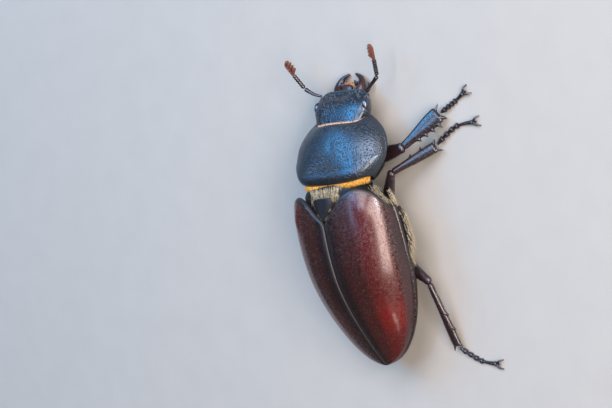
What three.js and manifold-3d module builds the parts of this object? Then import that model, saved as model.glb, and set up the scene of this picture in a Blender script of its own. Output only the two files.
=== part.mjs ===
// Female stag beetle (Lucanus cervus), life size, standing with its head turned down and forward.
// Millimetres, +Z up, head towards -Y, the beetle's right side towards -X. The origin is under the
// middle of its bounding box, on the floor that its six feet stand on.
import * as THREE from 'three'
import { mergeVertices } from 'three/addons/utils/BufferGeometryUtils.js'
import Module from 'manifold-3d'

// ---- driving dimensions -------------------------------------------------------------------
const JOINT_GAP = 0.08           // clear space between neighbouring plates
const SUTURE_GAP = 0.08          // between the two elytra

const ELYTRA_LENGTH = 23
const ELYTRA_WIDTH = 16.8
const ELYTRA_BASE = -0.65        // how far the shoulders reach ahead of the scutellum's base
const ELYTRA_TOP = 5.5           // highest point above the side margin
const ELYTRA_THICKNESS = 0.6
const HIND_PITCH = -9            // degrees, the hind body's front end is raised
const HIND_PIVOT = 8
const HIND_HEIGHT = 5.1          // side margin above the floor at the pivot

const PRONOTUM_LENGTH = 7.45
const PRONOTUM_WIDTH = 15.66
const PRONOTUM_DOME = 3.65
const PROSTERNUM_DEPTH = 2.5

const HEAD_LENGTH = 4.33
const HEAD_WIDTH = 9.42
const HEAD_THICKNESS = 2.97
const MANDIBLE_LENGTH = 2.95

const FEMUR_LENGTH = { front: 6.7, middle: 6.9, hind: 7.1 }
const TIBIA_LENGTH = { front: 6.5, middle: 6.8, hind: 9.2 }
const TARSUS_LENGTH = { front: 4.6, middle: 7.4, hind: 6.4 }
const ANKLE_HEIGHT = 0.8
const TARSUS_HEIGHT = 0.2        // centre line of the tarsus where it lies on the floor

// ---- helpers ------------------------------------------------------------------------------
const library = await Module()
library.setup()

const vec = (x, y, z) => new THREE.Vector3(x, y, z)
const rad = THREE.MathUtils.degToRad
const clamp = THREE.MathUtils.clamp
const lerp = THREE.MathUtils.lerp
const smooth = (low, high, x) => THREE.MathUtils.smoothstep(x, low, high)
const power = (x, n) => Math.sign(x) * Math.abs(x) ** n

// Shared vertices, outward faces and fresh normals.
function tidy(geometry) {
  geometry.deleteAttribute('normal')
  geometry.deleteAttribute('uv')
  const merged = mergeVertices(geometry, 1e-4)
  const place = merged.attributes.position
  const index = merged.index.array
  const corner = [vec(0, 0, 0), vec(0, 0, 0), vec(0, 0, 0)]
  let volume = 0
  for (let i = 0; i < index.length; i += 3) {
    corner.forEach((point, k) => point.fromBufferAttribute(place, index[i + k]))
    volume += corner[0].dot(corner[1].clone().cross(corner[2]))
  }
  if (volume < 0) {
    for (let i = 0; i < index.length; i += 3) {
      const first = index[i]
      index[i] = index[i + 1]
      index[i + 1] = first
    }
  }
  merged.computeVertexNormals()
  return merged
}

// Moves every vertex of a three.js primitive with a function of its place.
function warp(geometry, move) {
  const place = geometry.attributes.position
  const point = vec(0, 0, 0)
  for (let i = 0; i < place.count; i += 1) {
    move(point.fromBufferAttribute(place, i))
    place.setXYZ(i, point.x, point.y, point.z)
  }
  return tidy(geometry)
}

// A pebble: a cube's grid drawn onto a rounded block of the given half sizes.
function pebble(halves, roundness, cells) {
  const block = new THREE.BoxGeometry(2, 2, 2, ...cells)
  return warp(block, (p) => {
    const sum = Math.abs(p.x) ** roundness + Math.abs(p.y) ** roundness + Math.abs(p.z) ** roundness
    p.divideScalar(sum ** (1 / roundness)).multiply(halves)
  })
}

// A limb: a sphere's grid drawn out along a curve. girth(s) gives the two half widths, the first
// across `up`, and stations are the places of its rings along the curve, from 0 to 1.
function limb(path, girth, stations, sides, up) {
  const curve = new THREE.CatmullRomCurve3(path)
  const rings = stations.length - 1
  return warp(new THREE.SphereGeometry(1, sides, rings), (p) => {
    const ring = Math.round(Math.acos(clamp(-p.y, -1, 1)) / Math.PI * rings)
    const s = stations[ring]
    const around = Math.atan2(p.z, p.x)
    const end = ring === 0 || ring === rings
    const along = curve.getTangentAt(s)
    const across = vec(0, 0, 0).crossVectors(up, along).normalize()
    const lift = vec(0, 0, 0).crossVectors(along, across)
    const [wide, deep] = end ? [0, 0] : girth(s)
    p.copy(curve.getPointAt(s))
    p.addScaledVector(across, wide * Math.cos(around))
    p.addScaledVector(lift, deep * Math.sin(around))
  })
}

// Ring places that crowd towards both ends, and the rounding of those ends.
const counted = (rings) => Array.from({ length: rings + 1 }, (_, i) => i / rings)
const crowded = (rings) => counted(rings).map((s) => (1 - Math.cos(s * Math.PI)) / 2)
const roundEnds = (s, reach) => Math.sqrt(1 - (1 - Math.min(1, s / reach, (1 - s) / reach)) ** 2)

// A body: a sphere's grid with its poles fore and aft, drawn onto an upper and a lower profile.
// half, top, rim and depth are functions of t, which is 0 at the elytra's base and 1 at their end.
function bodyShell(front, rear, around, along, { half, top, rim, depth, square }) {
  return warp(new THREE.SphereGeometry(1, around, along), (p) => {
    const y = lerp(front, rear, (p.y + 1) / 2)
    const t = y / ELYTRA_LENGTH
    const ring = Math.hypot(p.x, p.z)
    const side = ring > 1e-6 ? p.x / ring : 0
    const lift = ring > 1e-6 ? p.z / ring : 0
    const rise = lift > 0 ? top(t) - rim(t) : depth(t)
    const drop = lift > 0 ? power(lift, 2 / 2.2) : power(lift, 2 / square)
    p.set(half(t) * power(side, 2 / 2.3), y, rim(t) + rise * drop)
  })
}

function solid(geometry) {
  const vertProperties = Float32Array.from(geometry.attributes.position.array)
  const triVerts = Uint32Array.from(geometry.index.array)
  return new library.Manifold(new library.Mesh({ numProp: 3, vertProperties, triVerts }))
}

function surface(body) {
  const mesh = body.getMesh()
  const geometry = new THREE.BufferGeometry()
  geometry.setAttribute('position', new THREE.Float32BufferAttribute(mesh.vertProperties, 3))
  geometry.setIndex(Array.from(mesh.triVerts))
  return tidy(geometry)
}

const join = (...parts) => surface(parts.map(solid).reduce((a, b) => a.add(b)))
const cut = (part, ...tools) => surface(tools.map(solid).reduce((a, b) => a.subtract(b), solid(part)))
const common = (a, b) => surface(solid(a).intersect(solid(b)))

// The same surface moved outwards along its normals, the tool that cuts a neighbour with a gap.
function inflate(geometry, gap = JOINT_GAP) {
  const grown = geometry.clone()
  const place = grown.attributes.position
  const normal = grown.attributes.normal
  for (let i = 0; i < place.count; i += 1) {
    place.setXYZ(
      i,
      place.getX(i) + normal.getX(i) * gap,
      place.getY(i) + normal.getY(i) * gap,
      place.getZ(i) + normal.getZ(i) * gap,
    )
  }
  return tidy(grown)
}

const box = (size, centre) => tidy(new THREE.BoxGeometry(...size).translate(...centre))
const mirrored = (geometry) => tidy(geometry.clone().scale(-1, 1, 1))
const floorCutter = box([120, 120, 10], [0, 0, -5])
const onFloor = (geometry) => cut(geometry, floorCutter)

function spike(at, direction, length, radius) {
  const cone = new THREE.ConeGeometry(radius, length, 4).translate(0, length / 2, 0)
  const turn = new THREE.Quaternion().setFromUnitVectors(vec(0, 1, 0), direction.clone().normalize())
  return tidy(cone.applyQuaternion(turn).translate(at.x, at.y, at.z))
}

// A body section's own frame, in which its plates are modelled.
function bodyFrame(x, y, z, pitch, yaw) {
  const frame = new THREE.Group()
  frame.position.set(x, y, z)
  frame.rotation.set(rad(pitch), 0, rad(yaw))
  frame.updateMatrixWorld(true)
  return frame
}
const placed = (geometry, frame) => tidy(geometry.clone().applyMatrix4(frame.matrixWorld))

const hind = bodyFrame(0, HIND_PIVOT, HIND_HEIGHT, HIND_PITCH, 0)
const fore = bodyFrame(-0.64, -0.63, 5.6, 16.1, -2.4)
const skull = bodyFrame(-0.53, -8.29, 3.68, 25.2, -4.4)

// ---- hind body: elytra, hind thorax and abdomen ---------------------------------------------
const halfWidth = (t) => (ELYTRA_WIDTH / 2) * (t > 0.22
  ? Math.sqrt(Math.max(0, 1 - ((t - 0.22) / 0.78) ** 2.2))
  : 1 - 0.08 * ((0.22 - t) / 0.22) ** 2)
const topLine = (t) => (t > 0.45
  ? ELYTRA_TOP - 3.3 * ((t - 0.45) / 0.55) ** 1.6
  : ELYTRA_TOP - 1.8 * ((0.45 - t) / 0.45) ** 1.9)
const rimLine = (t) => 1.7 * clamp((t - 0.5) / 0.5, 0, 1) ** 2 - 0.6 * clamp((0.36 - t) / 0.36, 0, 1)

const elytraOuter = bodyShell(ELYTRA_BASE - 0.3, ELYTRA_LENGTH, 22, 14, {
  half: halfWidth, top: topLine, rim: rimLine, depth: () => 0.3, square: 3,
})
const coreUpper = bodyShell(ELYTRA_BASE - 0.5, ELYTRA_LENGTH - ELYTRA_THICKNESS, 16, 10, {
  half: (t) => Math.max(0, halfWidth(t) - ELYTRA_THICKNESS),
  top: (t) => topLine(t) - ELYTRA_THICKNESS - 0.1,
  rim: rimLine,
  depth: () => 1.2,
  square: 2.2,
})
const bellyDepth = (t) => 3.1 * Math.sqrt(clamp(1 - ((t - 0.38) / 0.63) ** 2, 0.02, 1))
const coreLower = bodyShell(0, ELYTRA_LENGTH - 0.5, 16, 10, {
  half: (t) => Math.max(0, halfWidth(t) - 0.75 + 1.05 * smooth(0.1, 0.2, t) * (1 - smooth(0.32, 0.44, t))),
  top: (t) => rimLine(t) - 0.36,
  rim: (t) => rimLine(t) - 0.38,
  depth: bellyDepth,
  square: 2.4,
})

// Plan outline of the left elytron: scutellar notch, base, shoulder, side and suture.
function elytronPlan() {
  const half = ELYTRA_WIDTH / 2
  const plan = new THREE.Shape()
  plan.moveTo(SUTURE_GAP / 2, 2.7)
  plan.lineTo(1.8, 1.05)
  plan.quadraticCurveTo(3.0, ELYTRA_BASE + 0.1, half - 4, ELYTRA_BASE)
  plan.quadraticCurveTo(half - 2.2, ELYTRA_BASE, half - 1.4, 0.3)
  plan.quadraticCurveTo(half - 0.6, 1.6, half - 0.2, 3.4)
  plan.lineTo(half + 0.6, 5)
  plan.lineTo(half + 1, ELYTRA_LENGTH + 1)
  plan.lineTo(SUTURE_GAP / 2, ELYTRA_LENGTH + 1)
  plan.closePath()
  const settings = { depth: 12, bevelEnabled: false, curveSegments: 5 }
  return tidy(new THREE.ExtrudeGeometry(plan, settings).translate(0, 0, -3))
}
const elytraShell = cut(elytraOuter, inflate(coreUpper))
const elytronLeft = common(elytraShell, elytronPlan())
const elytronRight = mirrored(elytronLeft)

const core = join(coreUpper, coreLower)
const coreBehind = (y) => box([30, 40, 30], [0, y + 20, 0])
const coreFront = (y) => box([30, 40, 30], [0, y - 20, 0])
const MESO_END = 3.4
const META_END = 9.4
const abdomen = common(core, coreBehind(META_END + JOINT_GAP))
const metathorax = common(cut(core, coreBehind(META_END)), coreBehind(MESO_END + JOINT_GAP))

// The scutellum lies in the notch between the elytra, on the neck-like mesothorax.
function scutellumPlan() {
  const plan = new THREE.Shape()
  plan.moveTo(-1.7, 0)
  plan.quadraticCurveTo(0, -0.4, 1.7, 0)
  plan.quadraticCurveTo(1.2, 1.4, 0, 2.35)
  plan.quadraticCurveTo(-1.2, 1.4, -1.7, 0)
  const settings = { depth: 0.55, bevelEnabled: false, curveSegments: 4 }
  return tidy(new THREE.ExtrudeGeometry(plan, settings).translate(0, 0, 3.15))
}
const scutellum = warp(scutellumPlan(), (p) => {
  p.z += 0.28 * p.y - 0.08 * p.x * p.x
})
const neck = pebble(vec(5.3, 2.4, 2.6), 2.8, [5, 3, 3]).translate(0, 0.6, 0.05)
const mesoBody = common(core, coreFront(MESO_END))
const mesothorax = join(cut(mesoBody, coreFront(0.9)), tidy(neck))

// ---- prothorax -------------------------------------------------------------------------------
// v runs from 0 at the rear margin to 1 at the front, u from -1 to 1 across.
// The rear corners are cut off at a slant and lie higher than the middle of the sides.
const pronotumHalf = (v) => {
  const slant = 0.21 * clamp((0.34 - v) / 0.34, 0, 1) ** 1.5
  const plan = v < 0.42 ? 1 - 0.03 * ((0.42 - v) / 0.42) ** 2 : 1 - 0.4 * ((v - 0.42) / 0.58) ** 2.4
  return (PRONOTUM_WIDTH / 2) * (1 - slant) * plan
}
const pronotumTop = (u, v) => {
  const fall = 0.04 * smooth(0, 0.45, 0.45 - v) + 0.24 * clamp((v - 0.45) / 0.55, 0, 1) ** 2
  const rise = PRONOTUM_DOME * (1 - fall)
  const flatness = lerp(3.86, 2, smooth(0, 0.5, v))
  const rim = 0.12 + 0.7 * (1 - v) ** 2 * u * u
  return rim + rise * Math.sqrt(Math.max(0, 1 - Math.abs(u) ** flatness))
}
const pronotumY = (u, v) => {
  const corners = lerp(0.78, 1.09, v) * Math.abs(u) ** lerp(4, 7.9, v)
  return 0.3 * (1 - v) - v * PRONOTUM_LENGTH - corners
}
// The lower half of the prothorax narrows to the neck and lies a gap below the pronotum.
const prosternumY = (v) => -(0.5 + v * (PRONOTUM_LENGTH - 0.7))
const prosternumBottom = (u, v) => {
  const fall = PROSTERNUM_DEPTH * (1 - 0.45 * Math.abs(2 * v - 0.9) ** 3)
  return -0.55 - fall * Math.sqrt(Math.max(0, 1 - Math.abs(u) ** 2.6))
}
const acrossGrid = (x) => Math.sin(x * Math.PI / 2)

const pronotumBlock = warp(new THREE.BoxGeometry(2, 2, 2, 12, 6, 1), (p) => {
  const u = acrossGrid(p.x)
  const v = (1 - p.y) / 2
  p.set(u * pronotumHalf(v), pronotumY(u, v), p.z > 0 ? pronotumTop(u, v) : -0.35)
})
const prosternumBlock = warp(new THREE.BoxGeometry(2, 2, 2, 8, 5, 1), (p) => {
  const u = acrossGrid(p.x)
  const v = (1 - p.y) / 2
  p.set(u * (pronotumHalf(v) - 1), prosternumY(v), p.z > 0 ? -0.35 - JOINT_GAP : prosternumBottom(u, v))
})

// ---- head ------------------------------------------------------------------------------------
// The head's length runs along -y from the neck; its cheeks carry the eyes.
const headBlock = warp(pebble(vec(1, 1, 1), 5, [6, 5, 4]), (p) => {
  const forward = (1 - p.y) / 2
  const cheeks = 1 - 0.12 * smooth(0.6, 0.95, forward) - 0.11 * smooth(0, 0.3, 0.5 - forward)
  const narrower = p.z < 0 ? 1 + 0.18 * p.z : 1
  const shoulder = p.z > 0 ? 1 - 0.23 * Math.abs(p.x) ** 3 : 1
  const thick = (HEAD_THICKNESS / 2) * (1 - 0.4 * smooth(0.45, 1, forward)) * shoulder
  p.set(p.x * HEAD_WIDTH / 2 * cheeks * narrower, 1.1 - forward * (HEAD_LENGTH + 1.1), p.z * thick)
})
const eyeBall = pebble(vec(0.45, 0.76, 0.54), 2, [3, 3, 3])
const eyeShape = tidy(eyeBall.translate(HEAD_WIDTH / 2 - 0.25, -2.2, 0.3))
const eyeRidge = pebble(vec(0.8, 0.75, 0.26), 2.4, [3, 3, 2])
const canthus = tidy(eyeRidge.translate(HEAD_WIDTH / 2 - 0.75, -3.0, 0.3))

const jawRoot = 0.5 - HEAD_LENGTH
const mandibleOuter = limb(
  [
    vec(1.75, jawRoot, -0.3),
    vec(2.15, jawRoot - 0.37 * MANDIBLE_LENGTH, -0.4),
    vec(1.75, jawRoot - 0.75 * MANDIBLE_LENGTH, -0.5),
    vec(0.5, jawRoot - MANDIBLE_LENGTH, -0.55),
  ],
  (s) => [lerp(0.95, 0.2, s ** 0.8) * roundEnds(s, 0.08), lerp(0.7, 0.2, s ** 0.9) * roundEnds(s, 0.08)],
  crowded(7), 6, vec(0, 0, 1),
)
const toothRoot = vec(1.5, jawRoot - 0.47 * MANDIBLE_LENGTH, -0.42)
const mandibleTooth = spike(toothRoot, vec(-1, -0.75, 0.1), 1.05, 0.4)
const mandibleShape = join(mandibleOuter, mandibleTooth)

const labrumShape = tidy(pebble(vec(0.95, 0.75, 0.3), 3, [3, 3, 2]).translate(0, -HEAD_LENGTH - 0.1, 0))
const labiumShape = tidy(pebble(vec(1.5, 1.3, 0.4), 3, [3, 3, 2]).translate(0, -HEAD_LENGTH + 0.9, -0.95))
const palpShape = limb(
  [vec(1.6, -3.6, -0.85), vec(2.6, -4.3, -1.0), vec(3.1, -4.9, -1.0), vec(3.1, -5.5, -0.85)],
  (s) => Array(2).fill((0.27 + 0.05 * Math.cos(s * 18)) * roundEnds(s, 0.1)),
  crowded(6), 6, vec(0, 0, 1),
)

// ---- antennae: one long first joint, a chain of small ones and a four-leaved club ------------------
const ANTENNAE = {
  left: {
    root: vec(2.85, -12.15, 2.75),
    elbow: vec(5.1, -13.6, 3.3),
    tip: vec(7.0, -17.2, 4.0),
    leaf: vec(-0.75, -0.6, 0.3),
  },
  right: {
    root: vec(-4.75, -11.75, 2.45),
    elbow: vec(-7.6, -13.2, 2.8),
    tip: vec(-8.6, -17, 3.7),
    leaf: vec(0.45, -0.5, 0.1),
  },
}
function antenna({ root, elbow, tip, leaf }) {
  const up = vec(0, 0, 1)
  const bend = root.clone().lerp(elbow, 0.5).add(vec(0, 0.15, 0.1))
  const scape = limb(
    [root, bend, elbow],
    (s) => [lerp(0.25, 0.29, s) * roundEnds(s, 0.08), lerp(0.25, 0.29, s) * roundEnds(s, 0.08)],
    crowded(7), 6, up,
  )
  const start = elbow.clone().lerp(tip, 0.04)
  const half = elbow.clone().lerp(tip, 0.52)
  const funicle = limb(
    [start, half],
    (s) => [0.29 + 0.04 * Math.cos(s * 12 * Math.PI), 0.29 + 0.04 * Math.cos(s * 12 * Math.PI)],
    counted(12), 6, up,
  )
  const leaves = Array.from({ length: 4 }, (_, i) => {
    const at = elbow.clone().lerp(tip, 0.62 + 0.115 * i)
    const reach = i === 3 ? 0.85 : 1.15
    return limb(
      [at, at.clone().addScaledVector(leaf, reach)],
      (s) => [0.27 * roundEnds(s, 0.25), 0.32 * roundEnds(s, 0.25)],
      crowded(3), 4, up,
    )
  })
  const stem = limb(
    [elbow.clone().lerp(tip, 0.5), tip],
    (s) => [0.25 * roundEnds(s, 0.12), 0.25 * roundEnds(s, 0.12)],
    crowded(5), 5, up,
  )
  const club = join(stem, ...leaves)
  return { scape, funicle: cut(funicle, inflate(scape), inflate(club)), club }
}

// ---- legs ------------------------------------------------------------------------------------
// Headings are degrees from straight out sideways towards the head. Each foot ends on the floor.
const LEGS = {
  front_right: { hip: vec(-2.9, -3.0, 2.6), knee: [7, 3.2], shin: 32, toes: [22, 25] },
  front_left: { hip: vec(2.2, -3.0, 2.6), knee: [-14, 3.1], shin: 117, toes: [116, 108] },
  middle_right: { hip: vec(-3.3, 4.6, 2.5), knee: [55, 3.7], shin: 20, toes: [42, 2] },
  middle_left: { hip: vec(3.3, 4.6, 2.5), knee: [17, 3.7], shin: -55, toes: [-84, -102] },
  hind_right: { hip: vec(-2.8, 9.3, 2.0), knee: [-35, 2.8], shin: -86, toes: [-50, -12] },
  hind_left: { hip: vec(2.8, 9.3, 2.0), knee: [9, 3.4], shin: -84, toes: [-98, -150] },
}
const COXA = {
  front: { halves: vec(1.5, 1.15, 1.15), shift: vec(-0.5, 0, 0.35) },
  middle: { halves: vec(1.5, 1.1, 1.1), shift: vec(-0.5, 0.1, 0.45) },
  hind: { halves: vec(2.7, 0.95, 0.75), shift: vec(0.2, -0.3, 0.35) },
}
const GIRTH = {
  front: { femur: [1.0, 0.72], tibia: [0.55, 1.12, 0.45] },
  middle: { femur: [0.85, 0.66], tibia: [0.45, 0.72, 0.42] },
  hind: { femur: [0.85, 0.66], tibia: [0.4, 0.66, 0.4] },
}
const TEETH = {
  front: [0.34, 0.5, 0.66, 0.82],
  middle: [0.45, 0.68],
  hind: [0.5, 0.72],
}

function stepTo(start, heading, length, height, side) {
  const drop = height - start.z
  const reach = Math.sqrt(length * length - drop * drop)
  const angle = rad(heading)
  return vec(start.x + side * reach * Math.cos(angle), start.y - reach * Math.sin(angle), height)
}

function leg(pair, side, { hip, knee, shin, toes }) {
  const up = vec(0, 0, 1)
  const kneeAt = stepTo(hip, knee[0], FEMUR_LENGTH[pair], knee[1], side)
  const ankle = stepTo(kneeAt, shin, TIBIA_LENGTH[pair], ANKLE_HEIGHT, side)
  const toeStart = stepTo(ankle, toes[0], 0.85, 0.5, side)
  const toeLength = TARSUS_LENGTH[pair]
  const toeMid = stepTo(toeStart, lerp(toes[0], toes[1], 0.4), toeLength * 0.45, TARSUS_HEIGHT, side)
  const toeEnd = stepTo(toeMid, toes[1], toeLength * 0.4, TARSUS_HEIGHT + 0.12, side)

  const { halves, shift } = COXA[pair]
  const coxaAt = hip.clone().add(vec(shift.x * side, shift.y, shift.z))
  const coxa = tidy(pebble(halves, 2.2, [4, 3, 3]).translate(coxaAt.x, coxaAt.y, coxaAt.z))

  const [femurWide, femurDeep] = GIRTH[pair].femur
  const swell = (s) => (0.72 + 0.28 * Math.sin(clamp(s * 1.15, 0, 1) * Math.PI)) * roundEnds(s, 0.07)
  const femurPath = [hip, hip.clone().lerp(kneeAt, 0.5), hip.clone().lerp(kneeAt, 1.05)]
  const femur = limb(femurPath, (s) => [femurWide * swell(s), femurDeep * swell(s)], crowded(6), 7, up)

  const [tibiaNarrow, tibiaWide, tibiaDeep] = GIRTH[pair].tibia
  const shinStart = kneeAt.clone().lerp(ankle, 0.03)
  const tibiaGirth = (s) => lerp(tibiaNarrow, tibiaWide, smooth(0, 0.9, s))
  const blade = limb([shinStart, shinStart.clone().lerp(ankle, 0.5), ankle],
    (s) => [tibiaGirth(s) * roundEnds(s, 0.05), tibiaDeep * roundEnds(s, 0.05)], crowded(6), 6, up)
  const along = ankle.clone().sub(kneeAt).normalize()
  const outer = vec(0, 0, 1).cross(along).normalize().multiplyScalar(side)
  if (pair !== 'front') outer.multiplyScalar(-1)
  const toothAt = (s) => kneeAt.clone().lerp(ankle, s).addScaledVector(outer, tibiaGirth(s) * 0.62)
  const lean = (share) => outer.clone().addScaledVector(along, share)
  const big = pair === 'front' ? 1 : 0.75
  const teeth = TEETH[pair].map((s, i) => spike(toothAt(s), lean(0.5), (0.85 + 0.12 * i) * big, 0.34 * big))
  const tipAt = (way) => kneeAt.clone().lerp(ankle, 0.94).addScaledVector(outer, way * tibiaWide * 0.4)
  const tipTooth = spike(tipAt(1), lean(1.1), 1.25 * big, 0.42 * big)
  const spur = spike(tipAt(-1), lean(-1.8).negate(), 1.35, 0.3)
  const tibia = join(blade, ...teeth, tipTooth, spur)

  const joints = [0, 0.02, 0.15, 0.19, 0.3, 0.34, 0.44, 0.48, 0.58, 0.62, 0.8, 0.97, 1]
  const padded = [0, 0.26, 0.38, 0.25, 0.37, 0.25, 0.36, 0.25, 0.36, 0.25, 0.27, 0.33, 0]
  const tarsusGirth = (s) => {
    const ring = joints.findIndex((place) => Math.abs(place - s) < 1e-6)
    return [padded[ring], padded[ring] * 0.92]
  }
  const tarsusPath = [ankle.clone().lerp(toeStart, 0.35), toeStart, toeMid, toeEnd]
  const tarsus = limb(tarsusPath, tarsusGirth, joints, 6, up)

  const ahead = toeEnd.clone().sub(toeMid).setZ(0).normalize()
  const sideways = vec(-ahead.y, ahead.x, 0)
  const clawPath = (way) => [
    toeEnd.clone().addScaledVector(ahead, 0.02),
    toeEnd.clone().addScaledVector(ahead, 0.5).addScaledVector(sideways, way * 0.42).setZ(0.42),
    toeEnd.clone().addScaledVector(ahead, 0.98).addScaledVector(sideways, way * 0.62).setZ(-0.06),
  ]
  const clawGirth = (s) => [lerp(0.25, 0.1, s) * roundEnds(s, 0.1), lerp(0.25, 0.12, s) * roundEnds(s, 0.1)]
  const claw = (way) => limb(clawPath(way), clawGirth, crowded(4), 5, up)
  const claws = join(claw(1), claw(-1))
  return { coxa, femur, tibia, tarsus, claws }
}

// ---- materials -------------------------------------------------------------------------------
const shell = (color, roughness) => new THREE.MeshStandardMaterial({ color, roughness, metalness: 0 })
const PAINT = {
  black: () => shell('#17181c', 0.35),
  chestnut: () => shell('#3d1211', 0.25),
  leg: () => shell('#221314', 0.35),
  belly: () => shell('#1c1413', 0.45),
  eye: () => shell('#0b0c10', 0.1),
  club: () => shell('#5b2a20', 0.5),
}

// ---- fitting the pieces together ----------------------------------------------------------------
const pieces = {}
for (const [name, pose] of Object.entries(LEGS)) {
  const [pair, sideName] = name.split('_')
  pieces[name] = leg(pair, sideName === 'left' ? 1 : -1, pose)
}
const feelers = { left: antenna(ANTENNAE.left), right: antenna(ANTENNAE.right) }

const hindPart = (geometry) => placed(geometry.clone().translate(0, -HIND_PIVOT, 0), hind)
const headPart = (geometry) => placed(geometry, skull)
const forePart = (geometry) => placed(geometry, fore)

const parts = new Map()
const pronotum = forePart(pronotumBlock)
const prosternum = forePart(prosternumBlock)
const prothoraxRoom = [inflate(pronotum), inflate(prosternum)]
const elytra = { left: hindPart(elytronLeft), right: hindPart(elytronRight) }
const eyes = { left: headPart(eyeShape), right: headPart(mirrored(eyeShape)) }
const jaws = { left: headPart(mandibleShape), right: headPart(mirrored(mandibleShape)) }
const palps = { left: headPart(palpShape), right: headPart(mirrored(palpShape)) }

const skullBlock = cut(headPart(headBlock), inflate(eyes.left), inflate(eyes.right))
const canthi = { left: headPart(canthus), right: headPart(mirrored(canthus)) }
const headWhole = join(skullBlock, canthi.left, canthi.right)
const headRoom = inflate(headWhole)
parts.set('head', [skull, cut(headWhole, ...prothoraxRoom), PAINT.black])
const lip = headPart(labrumShape)
parts.set('labrum', [skull, cut(lip, headRoom), PAINT.black])
parts.set('labium', [skull, cut(headPart(labiumShape), headRoom), PAINT.belly])
for (const side of ['left', 'right']) {
  parts.set(`eye_${side}`, [skull, cut(eyes[side], inflate(canthi[side])), PAINT.eye])
  parts.set(`mandible_${side}`, [skull, cut(jaws[side], headRoom, inflate(lip)), PAINT.black])
  parts.set(`palp_${side}`, [skull, cut(palps[side], headRoom, inflate(headPart(labiumShape))), PAINT.leg])
  parts.set(`antenna_${side}_scape`, [skull, cut(feelers[side].scape, headRoom), PAINT.leg])
  parts.set(`antenna_${side}_funicle`, [skull, feelers[side].funicle, PAINT.leg])
  parts.set(`antenna_${side}_club`, [skull, feelers[side].club, PAINT.club])
}

parts.set('pronotum', [fore, pronotum, PAINT.black])
parts.set('prosternum', [fore, prosternum, PAINT.belly])

const shield = hindPart(scutellum)
const thorax = {
  front: prosternum,
  middle: cut(hindPart(mesothorax), ...prothoraxRoom),
  hind: hindPart(metathorax),
}
const belly = hindPart(abdomen)
const trunkRoom = [prosternum, thorax.middle, thorax.hind, belly].map((g) => inflate(g))
parts.set('scutellum', [hind, shield, PAINT.black])
parts.set('mesothorax', [hind, thorax.middle, PAINT.belly])
parts.set('metathorax', [hind, thorax.hind, PAINT.belly])
parts.set('abdomen', [hind, belly, PAINT.belly])
parts.set('elytron_left', [hind, elytra.left, PAINT.chestnut])
parts.set('elytron_right', [hind, elytra.right, PAINT.chestnut])

for (const [name, { coxa, femur, tibia, tarsus, claws }] of Object.entries(pieces)) {
  const { hip } = LEGS[name]
  const frame = bodyFrame(hip.x, hip.y, hip.z, 0, 0)
  parts.set(`leg_${name}_coxa`, [frame, cut(coxa, ...trunkRoom), PAINT.leg])
  parts.set(`leg_${name}_femur`, [frame, cut(femur, inflate(coxa), ...trunkRoom), PAINT.leg])
  parts.set(`leg_${name}_tibia`, [frame, cut(tibia, inflate(femur)), PAINT.leg])
  parts.set(`leg_${name}_tarsus`, [frame, onFloor(cut(tarsus, inflate(tibia))), PAINT.leg])
  parts.set(`leg_${name}_claws`, [frame, onFloor(cut(claws, inflate(tarsus))), PAINT.leg])
}

// ---- the scene graph: each piece in its own section's frame -----------------------------------
const beetle = new THREE.Group()
for (const [name, [frame, geometry, paint]] of parts) {
  const inward = frame.matrixWorld.clone().invert()
  const mesh = new THREE.Mesh(geometry.clone().applyMatrix4(inward), paint())
  mesh.name = name
  frame.add(mesh)
  beetle.add(frame)
}
beetle.updateMatrixWorld(true)
const extent = new THREE.Box3().setFromObject(beetle, true)
beetle.position.set(-(extent.min.x + extent.max.x) / 2, -(extent.min.y + extent.max.y) / 2, -extent.min.z)

export default beetle
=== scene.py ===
# Female European stag beetle, a still model at life size.
import math
import random
from bisect import bisect_right

import bmesh
import bpy
from mathutils import Matrix, Vector


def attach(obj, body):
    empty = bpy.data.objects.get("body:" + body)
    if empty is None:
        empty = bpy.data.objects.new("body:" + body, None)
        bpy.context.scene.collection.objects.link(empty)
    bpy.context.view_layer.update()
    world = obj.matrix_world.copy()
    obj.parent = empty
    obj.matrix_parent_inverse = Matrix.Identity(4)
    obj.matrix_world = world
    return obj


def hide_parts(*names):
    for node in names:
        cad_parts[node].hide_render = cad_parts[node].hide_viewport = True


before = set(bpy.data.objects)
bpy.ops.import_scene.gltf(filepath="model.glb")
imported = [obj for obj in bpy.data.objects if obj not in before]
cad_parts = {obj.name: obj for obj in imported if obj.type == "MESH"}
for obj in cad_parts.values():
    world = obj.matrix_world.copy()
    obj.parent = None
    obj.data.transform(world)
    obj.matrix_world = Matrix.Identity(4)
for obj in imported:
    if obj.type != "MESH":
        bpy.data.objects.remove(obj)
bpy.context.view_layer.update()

scene = bpy.context.scene

# ---- the stand: camera, floor and soft studio light -------------------------------------------
# The beetle is laid out in millimetres from the point on the floor below its waist, and WAIST says
# where that lies in the part's frame. The camera looks down on its right side, head to the top.
MM = 0.001
WAIST = Vector((3.13365, -4.12733, 0.0))
IMAGE_WIDTH, IMAGE_HEIGHT = 612, 408
FILM_WIDTH = 36
LOOK_AT = Vector((0.0, 5.3498, 7.5447))
LOOK_AT_DOT = (341.73, 234.24)   # the image dot where LOOK_AT shows, from the top left
CAMERA_AWAY = 300.0
CAMERA_FOCUS = 2364.0            # image dots per unit of slope
camera_back = Vector((-0.71745, -0.06726, 0.69336)).normalized()
camera_right = Vector((-0.68855, 0.21943, -0.69119))
camera_up = camera_back.cross(camera_right).normalized()
camera_right = camera_up.cross(camera_back)

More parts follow.
